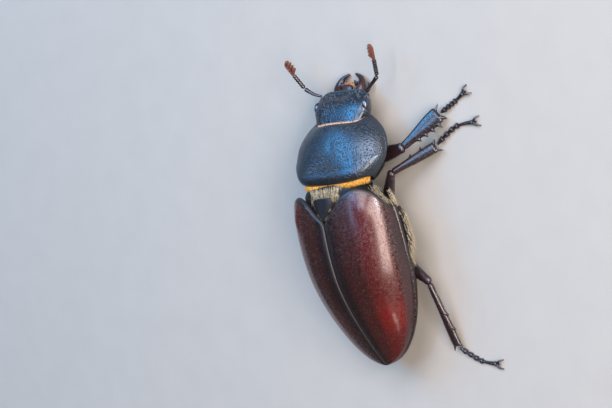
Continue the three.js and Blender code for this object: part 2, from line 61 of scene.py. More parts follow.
lens = bpy.data.cameras.new("camera")
lens.sensor_width = FILM_WIDTH
lens.lens = CAMERA_FOCUS * FILM_WIDTH / IMAGE_WIDTH
lens.clip_start, lens.clip_end = 0.01, 20
camera = bpy.data.objects.new("camera", lens)
scene.collection.objects.link(camera)
aim_right = IMAGE_WIDTH / 2 - LOOK_AT_DOT[0]
aim_up = LOOK_AT_DOT[1] - IMAGE_HEIGHT / 2
aim = (camera_right * aim_right + camera_up * aim_up - camera_back * CAMERA_FOCUS).normalized()
turn = camera_back.rotation_difference(-aim)
basis = Matrix((turn @ camera_right, turn @ camera_up, -aim)).transposed()
place = (LOOK_AT + WAIST + camera_back * CAMERA_AWAY) * MM
camera.matrix_world = Matrix.Translation(place) @ basis.to_4x4()
scene.camera = camera
scene.view_settings.view_transform = "Standard"


def plug(tree, node, **inputs):
    """Fills a node's inputs, _0 by number and Base_Color by name: sockets are linked, values set."""
    for key, value in inputs.items():
        socket = node.inputs[int(key[1:])] if key[0] == "_" else node.inputs[key.replace("_", " ")]
        if isinstance(value, bpy.types.NodeSocket):
            tree.links.new(value, socket)
        else:
            socket.default_value = value


def add(tree, kind, settings=None, **inputs):
    """A new node in a tree, with its settings and its inputs."""
    node = tree.nodes.new(kind)
    for key, value in (settings or {}).items():
        setattr(node, key, value)
    plug(tree, node, **inputs)
    return node


def blended(tree, factor, a, b):
    """A colour between a and b."""
    return add(tree, "ShaderNodeMix", {"data_type": "RGBA"}, _0=factor, _6=a, _7=b).outputs[2]


def blank_material(name):
    material = bpy.data.materials.new(name)
    material.use_nodes = True
    return material, material.node_tree, material.node_tree.nodes["Principled BSDF"]


floor_finish, tree, shader = blank_material("pale_board")
where = add(tree, "ShaderNodeTexCoord").outputs["Object"]
grain = add(tree, "ShaderNodeTexNoise", Vector=where, Scale=220, Detail=4).outputs["Fac"]
tone = blended(tree, grain, (0.38, 0.37, 0.34, 1), (0.42, 0.41, 0.375, 1))
plug(tree, shader, Base_Color=tone, Roughness=0.85)
bm = bmesh.new()
bmesh.ops.create_grid(bm, x_segments=2, y_segments=2, size=1.5)
board = bpy.data.meshes.new("studio_floor")
bm.to_mesh(board)
bm.free()
board.materials.append(floor_finish)
floor = bpy.data.objects.new("studio_floor", board)
scene.collection.objects.link(floor)

world = bpy.data.worlds.new("studio")
scene.world = world
world.use_nodes = True
plug(world.node_tree, world.node_tree.nodes["Background"], Color=(0.85, 0.88, 0.95, 1), Strength=0.08)


def softbox(name, azimuth, elevation, away, size, watts, tint):
    """A rectangular soft light that faces the beetle; azimuth 0 is ahead of it and 90 at its left."""
    light = bpy.data.lights.new(name, "AREA")
    light.shape, light.size, light.size_y = "RECTANGLE", size[0], size[1]
    light.energy, light.color = watts, tint
    lamp = bpy.data.objects.new(name, light)
    scene.collection.objects.link(lamp)
    a, e = math.radians(azimuth), math.radians(elevation)
    out = Vector((math.sin(a) * math.cos(e), -math.cos(a) * math.cos(e), math.sin(e)))
    lamp.matrix_world = Matrix.Translation(out * away) @ out.to_track_quat("Z", "Y").to_matrix().to_4x4()


softbox("key_light", -97, 35, 0.5, (0.38, 0.24), 3.3, (1.0, 0.82, 0.72))
softbox("white_spark", -76, 27, 0.5, (0.08, 0.06), 0.6, (0.75, 0.87, 1.0))
softbox("lilac_light", -28, 50, 0.5, (0.38, 0.32), 2.4, (0.92, 0.9, 1.0))
softbox("cool_fill", 37, 43, 0.5, (0.15, 0.25), 1.3, (0.07, 0.5, 1.0))
softbox("overhead_light", 8, 77, 0.55, (0.14, 0.13), 0.6, (0.28, 0.55, 1.0))
softbox("rear_light", -158, 29, 0.5, (0.03, 0.05), 0.1, (1.0, 0.85, 0.75))
softbox("left_spark", 73, 33, 0.5, (0.02, 0.035), 0.07, (0.9, 0.95, 1.0))

# ---- wing cases -------------------------------------------------------------------------------
# The two elytra are thin, hard shells of dark chestnut horn, grown in one piece each, with a
# rolled base, a shoulder bump, a raised bead along the side and a fold under it. They meet along
# the suture and leave a notch for the scutellum.
ELYTRA_LENGTH = 23.0
ELYTRA_WIDTH = 16.8
ELYTRA_TOP = 5.5
ELYTRA_BASE = [(0, 2.7), (0.1, 1.95), (0.232, 1.05), (0.38, 0.0), (0.57, -0.65), (0.73, -0.6),
               (0.88, 0.15), (0.95, 1.3), (1.0, 3.0)]
SIDE_SQUARE = 2.3                # of the trunk's cross-section: 2 is an ellipse, more is squarer
BACK_SQUARE = 2.2
BASE_ROLL = 0.5
SHELL_WALL = 0.3
RIBS = (0.3, 0.52, 0.72)
UNDERFOLD = [(0, 0.0, 0.0), (0.2, 0.05, -0.1), (0.4, -0.04, -0.24), (0.7, -0.4, -0.3), (1.0, -0.95, -0.3)]
CHESTNUT = (0.016, 0.005, 0.005, 1)
CHESTNUT_DARK = (0.007, 0.005, 0.005, 1)
CHESTNUT_BRIGHT = (0.036, 0.007, 0.006, 1)
# The red of the outer disc, also used for the painted glow of light through the horn at the rear of the
# disc.
CHESTNUT_RED_AND_GLOW = (0.11, 0.008, 0.006, 1)


def clamp(x, low=0.0, high=1.0):
    return max(low, min(high, x))


def lerp(a, b, t):
    return a + (b - a) * t


def smooth(low, high, x):
    t = clamp((x - low) / (high - low))
    return t * t * (3 - 2 * t)


def bell(x, middle, width):
    return math.exp(-(((x - middle) / width) ** 2))


def power(x, n):
    return math.copysign(abs(x) ** n, x)


def table(pairs, x):
    """A smooth line through the pairs of a table."""
    i = clamp(bisect_right([a for a, _ in pairs], x) - 1, 0, len(pairs) - 2)
    (x1, y1), (x2, y2) = pairs[i], pairs[i + 1]
    x0, y0 = pairs[i - 1] if i else (2 * x1 - x2, 2 * y1 - y2)
    x3, y3 = pairs[i + 2] if i + 2 < len(pairs) else (2 * x2 - x1, 2 * y2 - y1)
    t, span = (x - x1) / (x2 - x1), x2 - x1
    m1, m2 = (y2 - y0) / (x2 - x0) * span, (y3 - y1) / (x3 - x1) * span
    return ((2 * t**3 - 3 * t**2 + 1) * y1 + (t**3 - 2 * t**2 + t) * m1
            + (3 * t**2 - 2 * t**3) * y2 + (t**3 - t**2) * m2)


def section_frame(x, y, z, pitch, yaw, pivot=0.0):
    """The place of one section of the body: its plates are modelled straight and then bent here."""
    return (Matrix.Translation(Vector((x, y, z))) @ Matrix.Rotation(math.radians(pitch), 4, "X")
            @ Matrix.Rotation(math.radians(yaw), 4, "Z") @ Matrix.Translation(Vector((0, -pivot, 0))))


hind = section_frame(0, 8, 5.1, pitch=-9, yaw=0, pivot=8)
fore = section_frame(-0.64, -0.63, 5.6, pitch=16.1, yaw=-2.4)
skull = section_frame(-0.53, -8.29, 3.68, pitch=25.2, yaw=-4.4)
straight = Matrix.Identity(4)


def half_width(t):
    if t > 0.22:
        return ELYTRA_WIDTH / 2 * math.sqrt(max(0.0, 1 - ((t - 0.22) / 0.78) ** 2.2))
    return ELYTRA_WIDTH / 2 * (1 - 0.08 * ((0.22 - t) / 0.22) ** 2)


def top_line(t):
    if t > 0.45:
        return ELYTRA_TOP - 3.3 * ((t - 0.45) / 0.55) ** 1.6
    return ELYTRA_TOP - 1.8 * ((0.45 - t) / 0.45) ** 1.9


def rim_line(t):
    return 1.7 * clamp((t - 0.5) / 0.5) ** 2 - 0.6 * clamp((0.36 - t) / 0.36)


def make_piece(bm, name, finish, stands_for, section=straight):
    """Puts a modelled shape into its section of the body and makes it a piece of the model."""
    whole = Matrix.Scale(MM, 4) @ Matrix.Translation(WAIST) @ section
    bmesh.ops.transform(bm, verts=bm.verts, matrix=whole)
    mesh = bpy.data.meshes.new(name)
    bm.to_mesh(mesh)
    bm.free()
    mesh.shade_smooth()
    mesh.materials.append(finish)
    piece = bpy.data.objects.new(name, mesh)
    scene.collection.objects.link(piece)
    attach(piece, "root")
    if stands_for:
        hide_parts(*stands_for)


def sheet_grid(across, along, shape):
    """A grid of horn, each point put where shape(s, t) says, with s across and t along, 0 to 1."""
    bm = bmesh.new()
    bm.loops.layers.uv.new("lie")
    bmesh.ops.create_grid(bm, x_segments=across, y_segments=along, size=1, calc_uvs=True)
    for vert in bm.verts:
        vert.co = shape((vert.co.x + 1) / 2, (vert.co.y + 1) / 2)
    return bm


def closed(bm, thickness=None):
    """Turns faces outwards, after a wall is given to an open sheet."""
    bmesh.ops.remove_doubles(bm, verts=bm.verts, dist=1e-4)
    bmesh.ops.recalc_face_normals(bm, faces=bm.faces)
    if thickness:
        bmesh.ops.solidify(bm, geom=bm.faces[:], thickness=thickness)
        bmesh.ops.recalc_face_normals(bm, faces=bm.faces)
    return bm


def elytron_shape(s, t):
    """s runs from the suture over the side bead to the fold under it, t from base to apex."""
    bead, edge, steep = 0.7, 0.88, 80
    if s < bead:
        lean = s / bead * steep
    else:
        lean = steep + min(1.0, (s - bead) / (edge - bead)) * (90 - steep)
    fold = clamp((s - edge) / (1 - edge))
    side = math.sin(math.radians(lean)) ** (2 / SIDE_SQUARE)
    lift = max(0.0, math.cos(math.radians(lean))) ** (2 / BACK_SQUARE)
    start = table(ELYTRA_BASE, side)
    y = lerp(start, ELYTRA_LENGTH - 0.04, math.sin(t ** 1.35 * math.pi / 2))
    share = y / ELYTRA_LENGTH
    half, rim = half_width(share), rim_line(share)
    taper = clamp(half / 3)
    x = half * side
    height = (top_line(share) - rim) * lift
    z = rim + height
    away = y - start
    if away < BASE_ROLL:
        z -= BASE_ROLL * 0.9 * (1 - math.sqrt(1 - (1 - away / BASE_ROLL) ** 2)) * lift
    z += 0.2 * bell(side, 0.74, 0.1) * bell(y, 1.9, 1.3)
    z += taper * (0.03 * bell(x, 0.5, 0.25) - 0.02 * bell(x, 0, 0.05))
    for rib in RIBS:
        z += 0.022 * taper * bell(side, rib, 0.05) * smooth(0.5, 3, away) * (1 - smooth(0.6, 0.85, share))
    x += taper * (0.1 * bell(height, 0.1, 0.13) - 0.07 * bell(height, 0.42, 0.16))
    if fold:
        i = min(3, bisect_right([row[0] for row in UNDERFOLD], fold) - 1)
        a, b = UNDERFOLD[i], UNDERFOLD[i + 1]
        k = (fold - a[0]) / (b[0] - a[0])
        x += lerp(a[1], b[1], k) * taper
        z += lerp(a[2], b[2], k) * clamp(taper + 0.2)
    return Vector((0.04 + max(0.0, x), y, z))


def maths(tree, operation, a, b, clamped=False):
    """One step of arithmetic on two sockets or numbers."""
    node = add(tree, "ShaderNodeMath", {"operation": operation, "use_clamp": clamped}, _0=a, _1=b)
    return node.outputs[0]


def ramp(tree, value, low, high, first, last, interpolation="LINEAR"):
    """A value turned from one range to another: first at low, last at high."""
    node = add(tree, "ShaderNodeMapRange", {"interpolation_type": interpolation}, Value=value,
               _1=low, _2=high, _3=first, _4=last)
    return node.outputs[0]


def empty_group(name, numbers, results):
    """A shader group that takes a place and some numbers, with its inputs and its end node."""
    group = bpy.data.node_groups.new(name, "ShaderNodeTree")
    face = group.interface
    face.new_socket(name="Place", in_out="INPUT", socket_type="NodeSocketVector")
    for key, value in numbers.items():
        face.new_socket(name=key, in_out="INPUT", socket_type="NodeSocketFloat").default_value = value
    for key in results:
        face.new_socket(name=key, in_out="OUTPUT", socket_type="NodeSocketFloat")
    return group, group.nodes.new("NodeGroupInput").outputs, group.nodes.new("NodeGroupOutput")


def horn_pits_group():
    """Punctures in horn: a scatter of small round pits whose strength drifts over the surface."""
    numbers = {"Pits per metre": 6000.0, "Width": 0.35, "Patchiness": 0.3}
    group, given, out = empty_group("horn_pits", numbers, ("Pit", "Height"))
    cells = add(group, "ShaderNodeTexVoronoi", {"feature": "F1"}, Vector=given["Place"],
                Scale=given["Pits per metre"], Randomness=0.85)
    pit = ramp(group, cells.outputs["Distance"], 0.0, given["Width"], 1.0, 0.0, "SMOOTHSTEP")
    drift = add(group, "ShaderNodeTexNoise", Vector=given["Place"], Scale=260, Detail=2).outputs["Fac"]
    weakest = maths(group, "SUBTRACT", 1.0, given["Patchiness"])
    deep = maths(group, "MULTIPLY", pit, ramp(group, drift, 0.35, 0.65, 1.0, weakest))
    plug(group, out, Pit=deep, Height=maths(group, "SUBTRACT", 1.0, deep))
    return group


DUST_PER_METRE = 2600
DUST_COLOUR = (0.35, 0.29, 0.22, 1)


def dust_group():
    """Specks of dust and pollen lying on horn."""
    group, given, out = empty_group("dust_specks", {"Amount": 0.2}, ("Mask",))
    specks = add(group, "ShaderNodeTexVoronoi", {"feature": "F1"}, Vector=given["Place"],
                 Scale=DUST_PER_METRE, Randomness=1.0)
    near = ramp(group, specks.outputs["Distance"], 0.05, 0.16, 1.0, 0.0, "SMOOTHSTEP")
    pick = add(group, "ShaderNodeSeparateColor", Color=specks.outputs["Color"]).outputs[0]
    rare = maths(group, "LESS_THAN", pick, given["Amount"])
    plug(group, out, Mask=maths(group, "MULTIPLY", near, rare))
    return group


HORN_PITS = horn_pits_group()
DUST = dust_group()


def horn(name, colour, drift_colour, roughness, pits, width, depth, dust=0.08,
         tint=(0.75, 0.86, 1.0, 1), level=0.6, coat=0.2, drift_scale=180, speckle=0.0, ior=1.5):
    """Punctured horn: a drifting colour and dusty pits that dull the gloss. pits counts them per
    metre, width is the share of its cell that a pit takes, and depth is in metres."""
    material, tree, shader = blank_material(name)
    where = add(tree, "ShaderNodeTexCoord").outputs["Object"]
    holes = add(tree, "ShaderNodeGroup", {"node_tree": HORN_PITS}, Place=where, Pits_per_metre=pits,
                Width=width, Patchiness=0.3)
    pit = holes.outputs["Pit"]
    drift = add(tree, "ShaderNodeTexNoise", Vector=where, Scale=drift_scale, Detail=3).outputs["Fac"]
    base = blended(tree, ramp(tree, drift, 0.35, 0.68, 0.0, 1.0), colour, drift_colour)
    base = blended(tree, maths(tree, "MULTIPLY", pit, speckle), base, DUST_COLOUR)
    specks = add(tree, "ShaderNodeGroup", {"node_tree": DUST}, Place=where, Amount=dust).outputs["Mask"]
    fine = add(tree, "ShaderNodeTexNoise", Vector=where, Scale=2400, Detail=3).outputs["Fac"]
    uneven = ramp(tree, fine, 0.3, 0.7, roughness - 0.05, roughness + 0.07)
    bump = add(tree, "ShaderNodeBump", Height=holes.outputs["Height"], Strength=1.0, Distance=depth)
    plug(tree, shader, Base_Color=blended(tree, specks, base, DUST_COLOUR), Normal=bump.outputs[0],
         Roughness=maths(tree, "ADD", maths(tree, "MULTIPLY", pit, 0.25), uneven, True), IOR=ior,
         Specular_IOR_Level=level, Specular_Tint=tint, Coat_Weight=coat, Coat_Roughness=0.15)
    return material


def chestnut_horn():
    """The wing cases' own horn: dark chestnut, red along the outer disc, black at suture and base. The
    full red patch on the rear of the disc is a painted glow of light shining through the thin horn.
    """
    wax = 0.2
    rubbed_most = 0.18
    material = horn("elytra_chestnut_horn", CHESTNUT, CHESTNUT_BRIGHT, roughness=0.23, pits=6200,
                    width=0.5, depth=0.022 * MM, dust=0.05, tint=(1.0, 0.92, 0.94, 1), level=0.75,
                    coat=wax, drift_scale=90, speckle=0.1)
    tree = material.node_tree
    shader = tree.nodes["Principled BSDF"]
    lie = add(tree, "ShaderNodeUVMap", {"uv_map": "lie"}).outputs["UV"]
    across, along, _ = add(tree, "ShaderNodeSeparateXYZ", Vector=lie).outputs

    def band(socket, low, high, most):
        return ramp(tree, socket, low, high, 0.0, most, "SMOOTHSTEP")

    def both(a, b):
        return maths(tree, "MULTIPLY", a, b)

    colour = shader.inputs["Base Color"].links[0].from_socket
    disc = both(band(across, 0.2, 0.36, 1), band(across, 0.64, 0.55, 1))
    # rear marks the back of the disc, where the colour turns full red: a painted glow of light shining
    # through the horn.
    rear = both(band(along, 0.49, 0.59, 1), band(along, 0.73, 0.62, 1))
    colour = blended(tree, both(disc, band(along, 0.0, 0.1, 0.42)), colour, CHESTNUT_RED_AND_GLOW)
    colour = blended(tree, both(disc, rear), colour, CHESTNUT_RED_AND_GLOW)
    dark_edges = ((across, 0.14, 0.03), (across, 0.74, 0.84), (along, 0.08, 0.0), (along, 0.86, 1.0))
    for socket, low, high in dark_edges:
        colour = blended(tree, band(socket, low, high, 0.9), colour, CHESTNUT_DARK)
    dull = shader.inputs["Roughness"].links[0].from_socket
    rubbed = maths(tree, "MAXIMUM", band(across, 0.04, 0.012, 0.22), band(along, 0.045, 0.02, rubbed_most))
    plug(tree, shader, Base_Color=colour, Roughness=maths(tree, "ADD", dull, rubbed, True),
         Coat_Weight=ramp(tree, rubbed, 0.0, rubbed_most, wax, 0.0))
    return material


elytra_finish = chestnut_horn()
for way, side in ((1, "left"), (-1, "right")):
    bm = closed(sheet_grid(72, 130, elytron_shape), SHELL_WALL)
    if way < 0:
        bmesh.ops.scale(bm, verts=bm.verts, vec=(-1, 1, 1))
        bmesh.ops.reverse_faces(bm, faces=bm.faces)
    make_piece(bm, f"wing_case_{side}", elytra_finish, [f"elytron_{side}"], hind)

# ---- pronotum ---------------------------------------------------------------------------------
# The shield of the fore body: one domed plate of black, punctured horn with a beaded margin,
# rolled down at its front and rear, and a short fold under each side.
PRONOTUM_LENGTH = 7.45
PRONOTUM_WIDTH = 15.66
PRONOTUM_DOME = 3.65
REAR_ROLL = 0.9
FRONT_ROLL = 0.45
WIDEST_AT = 0.42


def pronotum_half(v):
    slant = 0.21 * clamp((0.34 - v) / 0.34) ** 1.5
    if v < WIDEST_AT:
        plan = 1 - 0.03 * ((WIDEST_AT - v) / WIDEST_AT) ** 2
    else:
        plan = 1 - 0.4 * ((v - WIDEST_AT) / (1 - WIDEST_AT)) ** 2.4
    return PRONOTUM_WIDTH / 2 * (1 - slant) * plan


def pronotum_point(u, v):
    """The plate's outer face: u from -1 to 1 across, v from 0 at the rear margin to 1 in front."""
    rise = PRONOTUM_DOME * (1 - 0.04 * smooth(0, 0.45, 0.45 - v) - 0.24 * clamp((v - 0.45) / 0.55) ** 2)
    flatness = lerp(3.86, 2.0, smooth(0, 0.5, v))
    z = 0.12 + 0.7 * (1 - v) ** 2 * u * u + rise * math.sqrt(max(0.0, 1 - abs(u) ** flatness))
    y = 0.3 * (1 - v) - v * PRONOTUM_LENGTH - lerp(0.78, 1.09, v) * abs(u) ** lerp(4, 7.9, v)
    return Vector((u * pronotum_half(v), y, z))


def pronotum_shape(s, t):
    """The plate with its rolled margins; the first and last few rows fold in under its sides."""
    fold = clamp((abs(2 * s - 1) - 0.9) / 0.1)
    u = math.sin(clamp((2 * s - 1) / 0.9, -1, 1) * math.pi / 2)
    v = (1 - math.cos(t * math.pi)) / 2
    p = pronotum_point(u, v)
    rear, front = v * PRONOTUM_LENGTH, (1 - v) * PRONOTUM_LENGTH
    for back, roll, reach in ((rear, REAR_ROLL, 0.95), (front, FRONT_ROLL, 0.8)):
        if back < roll:
            turned = roll * reach * (1 - math.sqrt(1 - (1 - back / roll) ** 2))
            p.z -= turned * clamp((p.z + 0.3) / 1.2) * (1 - abs(u) ** 5)
    p.z -= 0.06 * bell(p.x, -0.9, 0.6) * bell(v, 0.62, 0.08)
    p.z += 0.03 * (bell(rear, 1.0, 0.3) - bell(rear, 1.5, 0.35)) * (1 - abs(u) ** 4)
    side = math.copysign(1, u)
    p.x += side * (0.07 * bell(p.z, 0.3, 0.16) - 0.05 * bell(p.z, 0.7, 0.2)) * smooth(0.8, 0.97, abs(u))
    p.x -= side * fold
    p.z -= 0.42 * math.sin(fold * math.pi / 2) + 0.7 * (1 - v) ** 2 * fold
    return p


BLUE_BLACK = (0.005, 0.007, 0.011, 1)
# The blue tint given to this horn's reflections is a painted reflection of blue sky.
black_finish = horn("black_punctured_horn", BLUE_BLACK, (0.013, 0.011, 0.009, 1), roughness=0.36,
                    pits=3900, width=0.5, depth=0.06 * MM, tint=(0.62, 0.8, 1.0, 1), level=1.0,
                    coat=0.0, ior=1.62)
bm = closed(sheet_grid(110, 72, pronotum_shape), SHELL_WALL)
make_piece(bm, "pronotum_shield", black_finish, ["pronotum"], fore)

# ---- head -------------------------------------------------------------------------------------
# The head capsule is one block of coarsely punctured black horn, bowed down in front. A ridge, the
# canthus, runs from its front edge into each eye, and two low knobs stand between the eyes.
HEAD_LENGTH = 4.33
HEAD_WIDTH = 9.42
HEAD_THICKNESS = 2.97


def pebble(bm, halves, roundness, cells, centre=(0, 0, 0), shape=None):
    """Adds a rounded block: a cube's grid drawn onto the given half sizes, then put through shape."""
    stone = bmesh.new()
    bmesh.ops.create_cube(stone, size=2)
    bmesh.ops.subdivide_edges(stone, edges=stone.edges[:], cuts=cells, use_grid_fill=True)
    for vert in stone.verts:
        grid = Vector([math.sin(c * math.pi / 4) / math.sin(math.pi / 4) for c in vert.co])
        size = sum(abs(c) ** roundness for c in grid) ** (1 / roundness)
        vert.co = Vector([c / size * h + m for c, h, m in zip(grid, halves, centre)])
        if shape:
            vert.co = shape(vert.co)
    block = bpy.data.meshes.new("stone")
    stone.to_mesh(block)
    stone.free()
    bm.from_mesh(block)
    bpy.data.meshes.remove(block)


def fused(bm, grain):
    """Overlapping shapes grown into one skin of even grain, with softened joins."""
    block = bpy.data.meshes.new("fusing")
    bm.to_mesh(block)
    bm.free()
    holder = bpy.data.objects.new("fusing", block)
    scene.collection.objects.link(holder)
    remesh = holder.modifiers.new("fusing", "REMESH")
    remesh.mode, remesh.voxel_size = "VOXEL", grain
    skin = bpy.data.meshes.new_from_object(holder.evaluated_get(bpy.context.evaluated_depsgraph_get()))
    fine = bmesh.new()
    fine.from_mesh(skin)
    for _ in range(2):
        bmesh.ops.smooth_vert(fine, verts=fine.verts, factor=0.5,
                              use_axis_x=True, use_axis_y=True, use_axis_z=True)
    bpy.data.objects.remove(holder)
    bpy.data.meshes.remove(block)
    bpy.data.meshes.remove(skin)
    return fine


def head_point(p):
    forward = (1 - p.y) / 2
    cheeks = 1 - 0.12 * smooth(0.6, 0.95, forward) - 0.11 * smooth(0, 0.3, 0.5 - forward)
    thick = HEAD_THICKNESS / 2 * (1 - 0.4 * smooth(0.45, 1, forward))
    if p.z > 0:
        thick *= 1 - 0.23 * abs(p.x) ** 3
    else:
        cheeks *= 1 + 0.18 * p.z
    q = Vector((p.x * HEAD_WIDTH / 2 * cheeks, 1.1 - forward * (HEAD_LENGTH + 1.1), p.z * thick))
    if p.z > 0:
        q.z += 0.07 * (bell(q.x, 1.35, 0.6) + bell(q.x, -1.35, 0.6)) * bell(q.y, -2.6, 0.6)
        q.z -= 0.12 * bell(q.x, 0, 1.6) * bell(q.y, -3.5, 0.8)
        q.z += 0.05 * bell(forward, 0.93, 0.05)
    return q


bm = bmesh.new()
pebble(bm, (1, 1, 1), 5, 30, shape=head_point)
for way in (1, -1):
    pebble(bm, (0.75, 0.65, 0.22), 2.4, 7, (way * (HEAD_WIDTH / 2 - 0.75), -3.05, 0.3))
    pebble(bm, (0.5, 0.95, 0.6), 2.4, 7, (way * (HEAD_WIDTH / 2 - 0.7), -2.25, 0.0))
# The blue tint given to this horn's reflections is a painted reflection of blue sky.
head_finish = horn("head_punctured_horn", BLUE_BLACK, (0.012, 0.010, 0.011, 1), roughness=0.32,
                   pits=3000, width=0.5, depth=0.07 * MM, tint=(0.58, 0.79, 1.0, 1), level=1.0,
                   coat=0.0, speckle=0.25, ior=1.62)
make_piece(fused(bm, 0.075), "head_capsule", head_finish, ["head"], skull)

# The eyes are black, glossy and finely faceted, each half crossed by the canthus.
eye_finish, tree, shader = blank_material("faceted_eye")
where = add(tree, "ShaderNodeTexCoord").outputs["Object"]
cells = add(tree, "ShaderNodeTexVoronoi", {"feature": "F1"}, Vector=where, Scale=17000, Randomness=0.25)
facets = cells.outputs["Distance"]
tone = blended(tree, facets, (0.022, 0.02, 0.03, 1), (0.006, 0.006, 0.009, 1))
swell = maths(tree, "SUBTRACT", 1.0, facets)
bump = add(tree, "ShaderNodeBump", Height=swell, Strength=0.5, Distance=0.000008)
# The blue tint given to the eye's reflections is a painted blue highlight.
plug(tree, shader, Base_Color=tone, Normal=bump.outputs[0], Roughness=0.3, Specular_IOR_Level=1.0,
     Specular_Tint=(0.6, 0.75, 1.0, 1), Coat_Weight=1.0, Coat_Roughness=0.16)
for way, side in ((1, "left"), (-1, "right")):
    bm = bmesh.new()
    pebble(bm, (0.52, 0.84, 0.68), 2, 13, (way * (HEAD_WIDTH / 2 - 0.29), -2.2, 0.4))
    make_piece(closed(bm), f"compound_eye_{side}", eye_finish, [f"eye_{side}"], skull)

# ---- jaws, lips and palps ---------------------------------------------------------------------
# Short, sickle-shaped mandibles of thick black horn with one inner tooth, red-brown where they
# wear thin; between them the upper lip, and below it the lower lip with a jointed palp each side.
MANDIBLE_LENGTH = 2.95
JAW_ROOT = 0.5 - HEAD_LENGTH


def curve_through(points):
    """A smooth path through points: at(s) gives the place and direction, s by length from 0 to 1."""
    ends = [points[0] * 2 - points[1], *points, points[-1] * 2 - points[-2]]
    dots, run = [], [0.0]
    for a, b, c, d in zip(ends, ends[1:], ends[2:], ends[3:]):
        for k in range(16):
            t = k / 16
            dots.append(0.5 * (2 * b + (c - a) * t + (2 * a - 5 * b + 4 * c - d) * t**2
                               + (3 * b - a - 3 * c + d) * t**3))
    dots.append(points[-1].copy())
    for p, q in zip(dots, dots[1:]):
        run.append(run[-1] + (q - p).length)

    def at(s):
        want = clamp(s) * run[-1]
        i = clamp(bisect_right(run, want) - 1, 0, len(dots) - 2)
        step = dots[i + 1] - dots[i]
        before = dots[i] - dots[max(0, i - 1)] if i else step
        k = (want - run[i]) / (run[i + 1] - run[i])
        return dots[i] + step * k, before.lerp(step, 0.5 + 0.5 * k).normalized()
    return at


def round_ends(s, reach):
    return math.sqrt(max(0.0, 1 - (1 - min(1, s / reach, (1 - s) / reach)) ** 2))


UP = Vector((0, 0, 1))


def limb(bm, points, girth, rings=24, sides=16, up=UP):
    """A limb along a path. girth(s) gives its half widths across and along `up`."""
    at = curve_through(points)
    made = bmesh.ops.create_uvsphere(bm, u_segments=sides, v_segments=rings, radius=1)["verts"]
    for vert in made:
        s = (1 - clamp(vert.co.z, -1, 1)) / 2
        around = math.atan2(vert.co.y, vert.co.x)
        centre, along = at(s)
        across = up.cross(along).normalized()
        lift = along.cross(across)
        wide, deep = girth(s) if 1e-6 < s < 1 - 1e-6 else (0, 0)
        vert.co = centre + across * (wide * math.cos(around)) + lift * (deep * math.sin(around))


def spike(bm, at, direction, length, radius, curl=None):
    """A pointed tooth, bent a little towards curl."""
    end = at + direction.normalized() * length
    middle = at.lerp(end, 0.5) - (curl * 0.12 * length if curl else Vector())
    limb(bm, [at, middle, end], lambda s: (radius * (1 - s) ** 0.8 + 0.02,) * 2, 10, 10,
         up=UP if abs(direction.normalized().z) < 0.9 else Vector((0, 1, 0)))


jaw_finish = horn("jaw_horn", (0.010, 0.009, 0.010, 1), (0.06, 0.018, 0.012, 1), roughness=0.28,
                  pits=5200, width=0.3, depth=0.02 * MM, level=0.65, drift_scale=420)
for way, side in ((1, "left"), (-1, "right")):
    sickle = [Vector((way * x, JAW_ROOT + forth - share * MANDIBLE_LENGTH, z)) for x, forth, share, z in
              ((1.75, 0.2, 0, -0.3), (2.15, 0, 0.37, -0.4), (1.75, 0, 0.75, -0.5), (0.5, 0, 1, -0.55))]
    bm = bmesh.new()
    limb(bm, sickle, lambda s: (lerp(0.97, 0.14, s ** 0.8) * round_ends(s, 0.06),
                                lerp(0.7, 0.16, s ** 0.9) * round_ends(s, 0.06)))
    tooth_root = Vector((way * 1.5, JAW_ROOT - 0.47 * MANDIBLE_LENGTH, -0.42))
    spike(bm, tooth_root, Vector((-way, -0.75, 0.1)), 1.05, 0.42, Vector((0, -1, 0)))
    make_piece(fused(bm, 0.05), f"jaw_{side}", jaw_finish, [f"mandible_{side}"], skull)

bm = bmesh.new()
pebble(bm, (0.95, 0.75, 0.28), 3, 9, (0, -HEAD_LENGTH - 0.1, 0))
make_piece(closed(bm), "upper_lip", jaw_finish, ["labrum"], skull)
bm = bmesh.new()
pebble(bm, (1.5, 1.3, 0.4), 3, 9, (0, -HEAD_LENGTH + 0.9, -0.95))
under_finish = horn("underside_horn", (0.008, 0.006, 0.006, 1), (0.02, 0.010, 0.008, 1), roughness=0.42,
                    pits=5600, width=0.45, depth=0.02 * MM, tint=(0.9, 0.92, 1, 1), level=0.5,
                    dust=0.1, coat=0.1)
make_piece(closed(bm), "lower_lip", under_finish, ["labium"], skull)

# The bluish tint given to the limbs' reflections is a painted reflection of blue sky.
limb_finish = horn("red_brown_limb_horn", (0.008, 0.005, 0.006, 1), (0.022, 0.007, 0.008, 1),
                   roughness=0.3, pits=4600, width=0.45, depth=0.03 * MM, tint=(0.85, 0.9, 1.0, 1),
                   level=1.0, dust=0.12, coat=0.15, drift_scale=300)
PALP_ROUTE = ((1.6, -3.6, -0.85), (2.6, -4.3, -1.0), (3.1, -4.9, -1.0), (3.1, -5.5, -0.85))
for way, side in ((1, "left"), (-1, "right")):
    bm = bmesh.new()
    at = curve_through([Vector((way * x, y, z)) for x, y, z in PALP_ROUTE])
    for a, b, thick in ((0.05, 0.4, 0.25), (0.38, 0.68, 0.27), (0.66, 1.0, 0.31)):
        limb(bm, [at(a)[0], at((a + b) / 2)[0], at(b)[0]],
             lambda s: (thick * (0.65 + 0.35 * s) * round_ends(s, 0.12),) * 2, 14, 12)
    make_piece(closed(bm), f"mouth_palp_{side}", limb_finish, [f"palp_{side}"], skull)

